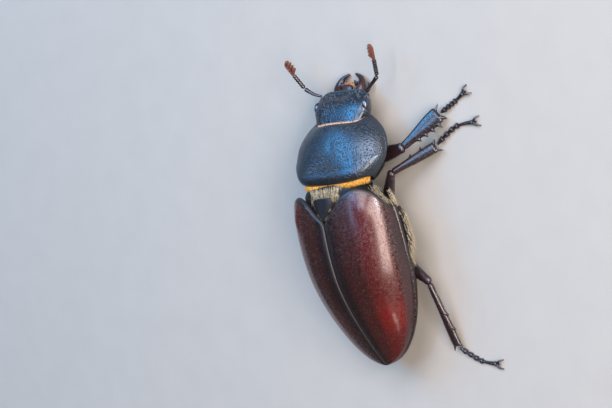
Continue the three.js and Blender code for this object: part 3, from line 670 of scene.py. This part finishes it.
# ---- feelers ----------------------------------------------------------------------------------
# Each antenna is a thin, elbowed feeler of red-brown horn: a long stem from beside the jaw, six
# bead-like joints beyond the elbow, and a club of four felted leaves.
FEELERS = {                      # root, elbow, tip, and the way that the club's leaves point
    "left": ((2.85, -12.15, 2.75), (5.1, -13.6, 3.3), (7.0, -17.2, 4.0), (-0.75, -0.6, 0.3)),
    "right": ((-4.75, -11.75, 2.45), (-7.6, -13.2, 2.8), (-8.6, -17, 3.7), (0.45, -0.5, 0.1)),
}
club_finish = horn("club_felt", (0.11, 0.032, 0.02, 1), (0.19, 0.07, 0.045, 1), roughness=0.55,
                   pits=12000, width=0.6, depth=0.02 * MM, tint=(1, 0.95, 0.9, 1), level=0.4,
                   coat=0.0, drift_scale=900)
for side, route in FEELERS.items():
    root, elbow, tip, leaf = [Vector(p) for p in route]
    bm = bmesh.new()
    limb(bm, [root, root.lerp(elbow, 0.5) + Vector((0, 0.15, 0.1)), elbow],
         lambda s: (lerp(0.17, 0.3, s ** 1.5) * round_ends(s, 0.07),) * 2, 30, 14)
    make_piece(closed(bm), f"feeler_stem_{side}", limb_finish, [f"antenna_{side}_scape"])
    bm = bmesh.new()
    for k in range(6):
        a, b = elbow.lerp(tip, 0.03 + 0.083 * k), elbow.lerp(tip, 0.135 + 0.083 * k)
        limb(bm, [a, a.lerp(b, 0.5), b],
             lambda s: (lerp(0.17, 0.33, s ** 0.7) * round_ends(s, 0.2),) * 2, 12, 12)
    make_piece(closed(bm), f"feeler_beads_{side}", limb_finish, [f"antenna_{side}_funicle"])
    bm = bmesh.new()
    limb(bm, [elbow.lerp(tip, 0.52), elbow.lerp(tip, 0.76), tip],
         lambda s: (0.22 * round_ends(s, 0.12),) * 2, 20, 12)
    for k in range(4):
        at = elbow.lerp(tip, 0.62 + 0.115 * k)
        reach = 0.9 if k == 3 else 1.18
        limb(bm, [at - leaf * 0.1, at + leaf * reach * 0.5, at + leaf * reach],
             lambda s: (0.2 * round_ends(s, 0.3), (0.22 + 0.12 * s) * round_ends(s, 0.25)), 16, 14)
    make_piece(closed(bm), f"feeler_club_{side}", club_finish, [f"antenna_{side}_club"])

# ---- underside and waist ----------------------------------------------------------------------
# Between the wing cases and the legs the body is plated below: the breast plates of the three
# thorax rings, then five overlapping belly plates. A waist joins the fore body to the rest.
BELLY_JOINTS = (0.43, 0.55, 0.66, 0.77, 0.88)
BELLY_SQUARE = 2.4


def belly_depth(t):
    deep = 3.1 * math.sqrt(clamp(1 - ((t - 0.38) / 0.63) ** 2, 0.02, 1))
    for joint in BELLY_JOINTS:
        if joint - 0.11 < t:
            deep -= 0.11 * bell(t, joint, 0.012)
    return deep


def body_shape(bm, front, rear, half, top, rim, depth, rings=90, sides=72):
    """A closed trunk: half(t) wide each way, from top(t) down to depth(t) below rim(t)."""
    made = bmesh.ops.create_uvsphere(bm, u_segments=sides, v_segments=rings, radius=1)["verts"]
    for vert in made:
        y = lerp(front, rear, (1 - vert.co.z) / 2)
        t = y / ELYTRA_LENGTH
        ring = math.hypot(vert.co.x, vert.co.y)
        side, lift = (vert.co.x / ring, vert.co.y / ring) if ring > 1e-6 else (0, 0)
        rise = top(t) - rim(t) if lift > 0 else depth(t)
        drop = power(lift, 2 / (BACK_SQUARE if lift > 0 else BELLY_SQUARE))
        vert.co = Vector((half(t) * power(side, 2 / SIDE_SQUARE), y, rim(t) + rise * drop))


def belly_half(t):
    return max(0, half_width(t) - 0.75 + 1.05 * smooth(0.1, 0.2, t) * (1 - smooth(0.32, 0.44, t)))


def belly_rim(t):
    return rim_line(t) - 0.38


def belly_block():
    bm = bmesh.new()
    body_shape(bm, 0, ELYTRA_LENGTH - 0.5, belly_half, lambda t: rim_line(t) - 0.2, belly_rim, belly_depth)
    return bm


def sliced(bm, y, keep):
    """Cuts a block at y and keeps what lies behind (1) or ahead (-1) of it, with a flat new end."""
    geometry = bm.verts[:] + bm.edges[:] + bm.faces[:]
    cut = bmesh.ops.bisect_plane(bm, geom=geometry, plane_co=(0, y, 0), plane_no=(0, 1, 0), dist=1e-6,
                                 clear_inner=keep > 0, clear_outer=keep < 0)
    edges = [part for part in cut["geom_cut"] if isinstance(part, bmesh.types.BMEdge)]
    bmesh.ops.holes_fill(bm, edges=edges, sides=0)


MESO_END = 3.4
META_END = 9.4
bm = belly_block()
sliced(bm, META_END + 0.06, 1)
make_piece(closed(bm), "belly_plates", under_finish, ["abdomen"], hind)
bm = belly_block()
sliced(bm, META_END, -1)
sliced(bm, MESO_END, 1)
for vert in bm.verts:
    if vert.co.z < -1.5:
        vert.co.z += 0.12 * bell(vert.co.x, 0, 0.2)
make_piece(closed(bm), "breast_plate_hind", under_finish, ["metathorax"], hind)

bm = bmesh.new()
pebble(bm, (5.3, 2.4, 2.6), 2.8, 14, (0, 0.6, 0.05))
body_shape(bm, 0.6, 7, lambda t: max(0, half_width(t) - 0.62 - 1.7 * (1 - smooth(0.02, 0.15, t))),
           lambda t: top_line(t) - 0.75, lambda t: rim_line(t) - 0.1, lambda t: 2.6, 40, 48)
sliced(bm, MESO_END, -1)
waist_finish = horn("waist_horn", (0.008, 0.008, 0.008, 1), (0.022, 0.017, 0.012, 1), roughness=0.5,
                    pits=7000, width=0.4, depth=0.03 * MM, level=0.4, dust=0.25, coat=0.0)
make_piece(fused(closed(bm), 0.11), "waist_ring", waist_finish, ["mesothorax"], hind)

PROSTERNUM_DEPTH = 2.5


def breast_shape(s, t):
    """The fore breast: a plate below the neck whose sides rise to the pronotum's margin."""
    u, v = math.sin((2 * s - 1) * math.pi / 2), (1 - math.cos(t * math.pi)) / 2
    fall = PROSTERNUM_DEPTH * (1 - 0.45 * abs(2 * v - 0.9) ** 3)
    z = -0.25 - fall * math.sqrt(max(0.0, 1 - abs(u) ** 2.6)) * smooth(1.0, 0.72, abs(u))
    return Vector((u * (pronotum_half(v) - 0.8), -(0.5 + v * (PRONOTUM_LENGTH - 0.5)), z))


bm = sheet_grid(60, 40, breast_shape)
bmesh.ops.recalc_face_normals(bm, faces=bm.faces)
rim_edges = [edge for edge in bm.edges if edge.is_boundary]
bmesh.ops.holes_fill(bm, edges=rim_edges, sides=0)
make_piece(closed(bm), "breast_plate_fore", under_finish, ["prosternum"], fore)


# The scutellum is a small, smooth shield in the notch between the wing cases.
def scutellum_shape(s, t):
    u, y = 2 * s - 1, -0.2 + 2.55 * t
    half = 1.72 * (1 - clamp(y / 2.35) ** 1.25) ** 0.8 * (1 - 0.1 * bell(t, 0, 0.1)) + 0.01
    x = u * half
    z = 3.66 + 0.29 * y - 0.09 * x * x - 0.12 * abs(u) ** 6
    return Vector((x, y - 0.18 * (1 - u * u) * (1 - t), z))


scutellum_finish = horn("scutellum_horn", (0.005, 0.005, 0.006, 1), (0.012, 0.009, 0.008, 1),
                        roughness=0.4, pits=7000, width=0.4, depth=0.02 * MM,
                        tint=(0.8, 0.88, 1.0, 1), level=0.45, coat=0.1)
bm = closed(sheet_grid(28, 24, scutellum_shape), 0.4)
make_piece(bm, "scutellum_shield", scutellum_finish, ["scutellum"], hind)

# ---- legs -------------------------------------------------------------------------------------
# Six legs of red-brown horn. The front shins are broad and toothed for digging, the others are
# slender with a spine or two; each ends in two spurs, a foot of five joints and a pair of claws.
# Headings are degrees from straight out sideways towards the head.
FEMUR_LENGTH = {"front": 6.7, "middle": 6.9, "hind": 7.1}
TIBIA_LENGTH = {"front": 6.5, "middle": 6.8, "hind": 9.2}
TARSUS_LENGTH = {"front": 4.6, "middle": 7.4, "hind": 6.4}
ANKLE_HEIGHT = 0.8
TARSUS_HEIGHT = 0.2
LEGS = {                         # hip, thigh's heading and knee's height, shin's heading, foot's two
    "front_right": ((-2.9, -3.0, 2.6), (7, 3.2), 32, (22, 25)),
    "front_left": ((2.2, -3.0, 2.6), (-14, 3.1), 117, (116, 108)),
    "middle_right": ((-3.3, 4.6, 2.5), (55, 3.7), 20, (42, 2)),
    "middle_left": ((3.3, 4.6, 2.5), (17, 3.7), -55, (-84, -102)),
    "hind_right": ((-2.8, 9.3, 2.0), (-35, 2.8), -86, (-50, -12)),
    "hind_left": ((2.8, 9.3, 2.0), (9, 3.4), -84, (-98, -150)),
}
COXA = {                         # half sizes, and the way outwards, backwards and up from the hip
    "front": ((1.5, 1.15, 1.15), (-0.5, 0, 0.35)),
    "middle": ((1.5, 1.1, 1.1), (-0.5, 0.1, 0.45)),
    "hind": ((2.7, 0.95, 0.75), (0.2, -0.3, 0.35)),
}
FEMUR_GIRTH = {"front": (1.0, 0.72), "middle": (0.85, 0.66), "hind": (0.85, 0.66)}
TIBIA_GIRTH = {"front": (0.55, 1.12, 0.45), "middle": (0.45, 0.72, 0.42), "hind": (0.4, 0.66, 0.4)}
TEETH = {"front": (0.34, 0.5, 0.66, 0.82), "middle": (0.45, 0.68), "hind": (0.5, 0.72)}


def step_to(start, heading, length, height, way):
    """The far end of a limb of this length that starts at start and ends at this height."""
    drop = height - start.z
    reach = math.sqrt(length * length - drop * drop)
    angle = math.radians(heading)
    return Vector((start.x + way * reach * math.cos(angle), start.y - reach * math.sin(angle), height))


def flatten_sole(bm):
    """Presses what would lie below the floor flat on it."""
    for vert in bm.verts:
        vert.co.z = max(vert.co.z, 0.0)


def thigh_swell(s):
    return (0.7 + 0.3 * math.sin(clamp(s * 1.15) * math.pi)) * round_ends(s, 0.07)


shins = {}
for name, (hip, knee_turn, shin, toes) in LEGS.items():
    pair, side = name.split("_")
    way = 1 if side == "left" else -1
    hip = Vector(hip)
    knee = step_to(hip, knee_turn[0], FEMUR_LENGTH[pair], knee_turn[1], way)
    ankle = step_to(knee, shin, TIBIA_LENGTH[pair], ANKLE_HEIGHT, way)
    toe_start = step_to(ankle, toes[0], 0.85, 0.5, way)
    foot = TARSUS_LENGTH[pair]
    toe_mid = step_to(toe_start, lerp(toes[0], toes[1], 0.4), foot * 0.45, TARSUS_HEIGHT, way)
    toe_end = step_to(toe_mid, toes[1], foot * 0.4, TARSUS_HEIGHT + 0.12, way)

    # Hip joint, half sunk in the breast plates.
    halves, shift = COXA[pair]
    bm = bmesh.new()
    pebble(bm, halves, 2.2, 9, (hip.x + shift[0] * way, hip.y + shift[1], hip.z + shift[2]))
    make_piece(closed(bm), f"hip_{name}", limb_finish, [f"leg_{name}_coxa"])

    # Thigh, swollen in the middle, with the small trochanter at its root.
    wide, deep = FEMUR_GIRTH[pair]
    bm = bmesh.new()
    limb(bm, [hip, hip.lerp(knee, 0.5), hip.lerp(knee, 1.05)],
         lambda s: (thigh_swell(s) * wide, thigh_swell(s) * deep), 40, 24)
    pebble(bm, (0.62, 0.62, 0.55), 2, 5, hip.lerp(knee, 0.16) - Vector((0, 0, 0.25)))
    make_piece(fused(bm, 0.08), f"thigh_{name}", limb_finish, [f"leg_{name}_femur"])

    # Shin: a blade that widens to the ankle, with its teeth, end tooth and spur.
    narrow, broad, thick = TIBIA_GIRTH[pair]
    along = (ankle - knee).normalized()
    outer = UP.cross(along).normalized() * way * (1 if pair == "front" else -1)
    big = 1 if pair == "front" else 0.75

    def tibia_girth(s):
        return lerp(narrow, broad, smooth(0, 0.9, s))

    bm = bmesh.new()
    start = knee.lerp(ankle, 0.03)
    limb(bm, [start, start.lerp(ankle, 0.5), ankle],
         lambda s: (tibia_girth(s) * round_ends(s, 0.04), thick * round_ends(s, 0.05)), 50, 24)
    for k, s in enumerate(TEETH[pair]):
        root = knee.lerp(ankle, s) + outer * tibia_girth(s) * 0.62
        spike(bm, root, outer + along * 0.5, (0.85 + 0.12 * k) * big, 0.32 * big, outer)
    tip = knee.lerp(ankle, 0.94)
    spike(bm, tip + outer * broad * 0.4, outer + along * 1.1, 1.25 * big, 0.4 * big, outer)
    spike(bm, tip - outer * broad * 0.4, along * 1.8 - outer, 1.35, 0.24)
    make_piece(fused(bm, 0.06), f"shin_{name}", limb_finish, [f"leg_{name}_tibia"])
    shins[name] = (knee, ankle, outer, along, tibia_girth, thick)

    # Foot: five joints, each wider at its far end, with the last the longest.
    bm = bmesh.new()
    at = curve_through([ankle.lerp(toe_start, 0.35), toe_start, toe_mid, toe_end])
    for a, b in ((0.0, 0.185), (0.165, 0.335), (0.315, 0.48), (0.46, 0.62), (0.6, 1.0)):
        last = b == 1.0
        end = 0.33 if last else 0.37

        def joint_girth(s):
            widening = s ** 2 if last else smooth(0.1, 0.85, s)
            rounding = round_ends(s, 0.09)
            return lerp(0.19, end, widening) * rounding, lerp(0.18, end * 0.92, widening) * rounding

        limb(bm, [at(a)[0], at((a + b) / 2)[0], at(b)[0]], joint_girth, 22, 14)
    flatten_sole(bm)
    make_piece(closed(bm), f"foot_{name}", limb_finish, [f"leg_{name}_tarsus"])

    # Two hooked claws with a little peg between them.
    ahead = toe_end - toe_mid
    ahead.z = 0
    ahead.normalize()
    sideways = Vector((-ahead.y, ahead.x, 0))
    bm = bmesh.new()
    for hook in (1, -1):
        first = toe_end + ahead * 0.02
        middle = toe_end + ahead * 0.5 + sideways * hook * 0.42
        last = toe_end + ahead * 0.98 + sideways * hook * 0.62
        middle.z, last.z = 0.42, 0.0
        limb(bm, [first, middle, last], lambda s: (lerp(0.23, 0.05, s) * round_ends(s, 0.08),) * 2, 20, 12)
    peg = toe_end + ahead * 0.55
    peg.z = 0.22
    limb(bm, [toe_end, toe_end.lerp(peg, 0.5), peg], lambda s: (0.08 * round_ends(s, 0.1),) * 2, 10, 8)
    flatten_sole(bm)
    make_piece(closed(bm), f"claw_pair_{name}", limb_finish, [f"leg_{name}_claws"])

# ---- hair -------------------------------------------------------------------------------------
# Golden hair stands in fringes along the seams of the fore body, on the waist, the flanks, the
# underside and the legs. Each tuft is a thin, bent, three-sided blade with its root in the horn.
GOLD_FRINGE = ((0.6, 0.24, 0.015, 1), (1.0, 0.6, 0.07, 1))
PALE_GOLD = ((0.22, 0.18, 0.1, 1), (0.7, 0.6, 0.4, 1))
DULL_GOLD = ((0.2, 0.12, 0.05, 1), (0.42, 0.28, 0.12, 1))
ROSY_GOLD = ((0.6, 0.36, 0.25, 1), (0.8, 0.55, 0.4, 1))
AMBER = ((0.3, 0.11, 0.02, 1), (0.7, 0.33, 0.06, 1))
ROOT_SHARE = 0.06                # of a tuft's length, sunk in the horn
TUFT_PATCH = (0.0012, 0.0028)    # of the unwrap, that one tuft takes


def hair_finish(name, shades):
    """Hair: a drift of two shades, with a silky sheen."""
    material, tree, shader = blank_material(name)
    where = add(tree, "ShaderNodeTexCoord").outputs["Object"]
    strand = add(tree, "ShaderNodeTexNoise", Vector=where, Scale=5200, Detail=2).outputs["Fac"]
    plug(tree, shader, Base_Color=blended(tree, ramp(tree, strand, 0.35, 0.65, 0.0, 1.0), *shades),
         Roughness=ramp(tree, strand, 0.0, 1.0, 0.3, 0.5), Specular_IOR_Level=0.5,
         Sheen_Weight=0.3, Sheen_Roughness=0.4)
    return material


def grow_hair(name, roots, thick, finish, section=straight):
    """A coat of tufts. Each root is (place, direction, length, bend, place on the skin's unwrap)."""
    bm = bmesh.new()
    number = bm.verts.layers.int.new("tuft")
    lie = bm.loops.layers.uv.new("OFBake")
    bmesh.ops.create_cone(bm, cap_ends=True, cap_tris=True, segments=3, radius1=1, radius2=0.2, depth=1)
    long_edges = [edge for edge in bm.edges if abs(edge.verts[0].co.z - edge.verts[1].co.z) > 0.5]
    bmesh.ops.subdivide_edges(bm, edges=long_edges, cuts=2)
    grown = 1
    while grown < len(roots):
        made = bmesh.ops.duplicate(bm, geom=bm.verts[:] + bm.edges[:] + bm.faces[:])["geom"]
        for part in made:
            if isinstance(part, bmesh.types.BMVert):
                part[number] += grown
        grown *= 2
    spare = [vert for vert in bm.verts if vert[number] >= len(roots)]
    bmesh.ops.delete(bm, geom=spare, context="VERTS")
    turns = []
    for _, heading, _, _, _ in roots:
        across = heading.orthogonal().normalized()
        across.rotate(Matrix.Rotation(random.uniform(0, 6.28), 3, heading))
        turns.append((heading.normalized(), across, heading.normalized().cross(across)))
    for face in bm.faces:
        x, y = roots[face.verts[0][number]][4]
        for corner in face.loops:
            grid = corner.vert.co
            corner[lie].uv = (x + TUFT_PATCH[0] * grid.x, y + TUFT_PATCH[1] * (grid.z + 0.5))
    for vert in bm.verts:
        root, _, length, bend, _ = roots[vert[number]]
        heading, across, beside = turns[vert[number]]
        k = vert.co.z + 0.5
        aside = (across * vert.co.x + beside * vert.co.y) * (thick * (1 - 0.3 * k))
        vert.co = root + heading * (length * (k - ROOT_SHARE)) + aside + bend * (length * k * k)
    make_piece(bm, name, finish, [], section)


def stray(amount):
    return Vector([random.uniform(-amount, amount) for _ in range(3)])


fringe_finish = hair_finish("golden_fringe", GOLD_FRINGE)
pale_finish = hair_finish("pale_gold_hair", PALE_GOLD)
dull_finish = hair_finish("dull_gold_hair", DULL_GOLD)

# A dense yellow fringe below the rear margin of the pronotum, and a thin one over the neck.
REAR_TUFTS, FRONT_TUFTS = 1500, 520
random.seed(11)
roots = []
for _ in range(REAR_TUFTS):
    u = random.uniform(-0.95, 0.95)
    p = pronotum_point(u, 0.0)
    p.z = max(p.z - 0.86 - random.uniform(0, 0.3), 0.1)
    p.y -= 0.15
    roots.append((p, Vector((0.1 * u, 1, 0.12)) + stray(0.14), random.uniform(0.65, 0.95),
                  Vector((0, 0, -0.12)), (0.5 + 0.48 * u, 0.05 + 0.02 * random.random())))
grow_hair("fringe_rear", roots, 0.04, fringe_finish, fore)
roots = []
for _ in range(FRONT_TUFTS):
    u = random.uniform(-0.93, 0.93)
    p = pronotum_point(u, 1.0)
    p.z -= 0.36
    p.y += 0.06
    roots.append((p, Vector((0, -1, -0.15)) + stray(0.12), random.uniform(0.28, 0.4),
                  Vector((0, 0, -0.1)), (0.5 + 0.48 * u, 0.95)))
grow_hair("fringe_front", roots, 0.03, hair_finish("rosy_gold_hair", ROSY_GOLD), fore)

# Long pale hairs lie back over the waist to the scutellum, and short ones edge the scutellum.
WAIST_TUFTS, SCUTELLUM_TUFTS = 170, 46
random.seed(12)
roots = []
for _ in range(WAIST_TUFTS):
    x = random.uniform(-2.9, 2.9)
    y = random.uniform(-1.3, -0.8)
    z = 2.62 - 0.05 * x * x + 0.1 * y
    roots.append((Vector((x, y, z)), Vector((-0.04 * x, 1, 0.4)) + stray(0.07), random.uniform(1.9, 3.0),
                  Vector((0, 0, -0.14)), (0.5 + x / 14, 0.5 + y / 14)))
for _ in range(SCUTELLUM_TUFTS):
    t = random.uniform(0.02, 0.98)
    way = random.choice((1, -1))
    p = scutellum_shape(0.5 + way * 0.48, t)
    p.z -= 0.12
    roots.append((p, Vector((way * 0.6, 0.9, 0.1)) + stray(0.25), random.uniform(0.35, 0.6),
                  Vector((0, 0, -0.1)), (0.5 + way * 0.2 * (1 - t), 0.7 + 0.2 * t)))
grow_hair("hair_waist", roots, 0.02, pale_finish, hind)

# The flanks of the hind breast carry a band of lying hair just below the wing cases' bead.
FLANK_TUFTS, SHOULDER_TUFTS = 420, 170
for way, side in ((1, "left"), (-1, "right")):
    random.seed(13 + way)
    roots = []
    for _ in range(FLANK_TUFTS):
        y = random.uniform(1.0, 10.8)
        t = y / ELYTRA_LENGTH
        lean = random.uniform(-0.05, 0.75)
        if lean > 0:
            z = belly_rim(t) - belly_depth(t) * math.sin(lean) ** (2 / BELLY_SQUARE)
        else:
            z = rim_line(t) - 0.3
        x = way * belly_half(t) * math.cos(lean) ** (2 / SIDE_SQUARE)
        roots.append((Vector((x, y, z)), Vector((way * 0.28, 1, 0)) + stray(0.2), random.uniform(0.7, 1.2),
                      Vector((-way * 0.06, 0, -0.08)), (0.5 + way * (0.2 + 0.2 * lean), t)))
    for _ in range(SHOULDER_TUFTS):
        y = random.uniform(-0.2, 2.4)
        x = way * (5.6 + 0.6 * y + random.uniform(-0.5, 0.4))
        z = rim_line(y / ELYTRA_LENGTH) + random.uniform(-0.3, 0.5)
        roots.append((Vector((x, y, z)), Vector((way * 0.9, 0.5, 0.35)) + stray(0.35),
                      random.uniform(0.6, 1.1), Vector((0, 0.15, -0.1)),
                      (0.5 + way * 0.45, 0.1 + y / 30)))
    grow_hair(f"hair_flank_{side}", roots, 0.03, pale_finish, hind)

# A short pile covers the hind breast and thins out over the belly.
PILE_TUFTS = 1700
random.seed(17)
roots = []
for _ in range(PILE_TUFTS):
    y = 3.6 + 18 * random.random() ** 1.8
    t = y / ELYTRA_LENGTH
    lean = random.uniform(0.35, math.pi - 0.35)
    x = belly_half(t) * power(math.cos(lean), 2 / SIDE_SQUARE)
    z = belly_rim(t) - belly_depth(t) * math.sin(lean) ** (2 / BELLY_SQUARE)
    roots.append((Vector((x, y, z)), Vector((0, 1, -0.3)) + stray(0.2), random.uniform(0.35, 0.6),
                  Vector((0, 0, 0.15)), (0.5 + x / 20, t)))
grow_hair("pile_underside", roots, 0.022, dull_finish, hind)

# A tuft at the mouth, orange-gold, from under the upper lip.
MOUTH_TUFTS = 170
random.seed(18)
roots = []
for _ in range(MOUTH_TUFTS):
    x = random.uniform(-0.7, 0.7)
    y = -HEAD_LENGTH - 0.45 - random.uniform(0, 0.3)
    roots.append((Vector((x, y, -0.2)), Vector((0.3 * x, -1, 0.12)) + stray(0.3),
                  random.uniform(0.4, 1.0) * (1.1 - 0.5 * abs(x)), Vector((0, 0, -0.2)),
                  (0.5 + x / 4, 0.5)))
grow_hair("tuft_mouth", roots, 0.03, hair_finish("amber_hair", AMBER), skull)

# Leg hair: bristles along both edges of each shin, twice as many on the inner one.
SHIN_TUFTS = 150
for name, (knee, ankle, outer, along, tibia_girth, thick) in shins.items():
    random.seed(len(name) * 7)
    roots = []
    for _ in range(SHIN_TUFTS):
        s = random.uniform(0.12, 0.96)
        way = random.choice((1, -1, -1))
        around = random.uniform(-0.5, 0.5)
        out = (outer * way * math.cos(around) + UP * math.sin(around)).normalized()
        p = knee.lerp(ankle, s) + outer * way * tibia_girth(s) * 0.93 * math.cos(around)
        p += UP * thick * math.sin(around)
        roots.append((p, along + out * 0.6 + stray(0.2), random.uniform(0.35, 0.7), -out * 0.1,
                      (s, 0.3 + 0.1 * way)))
    grow_hair(f"hair_shin_{name}", roots, 0.02, dull_finish)
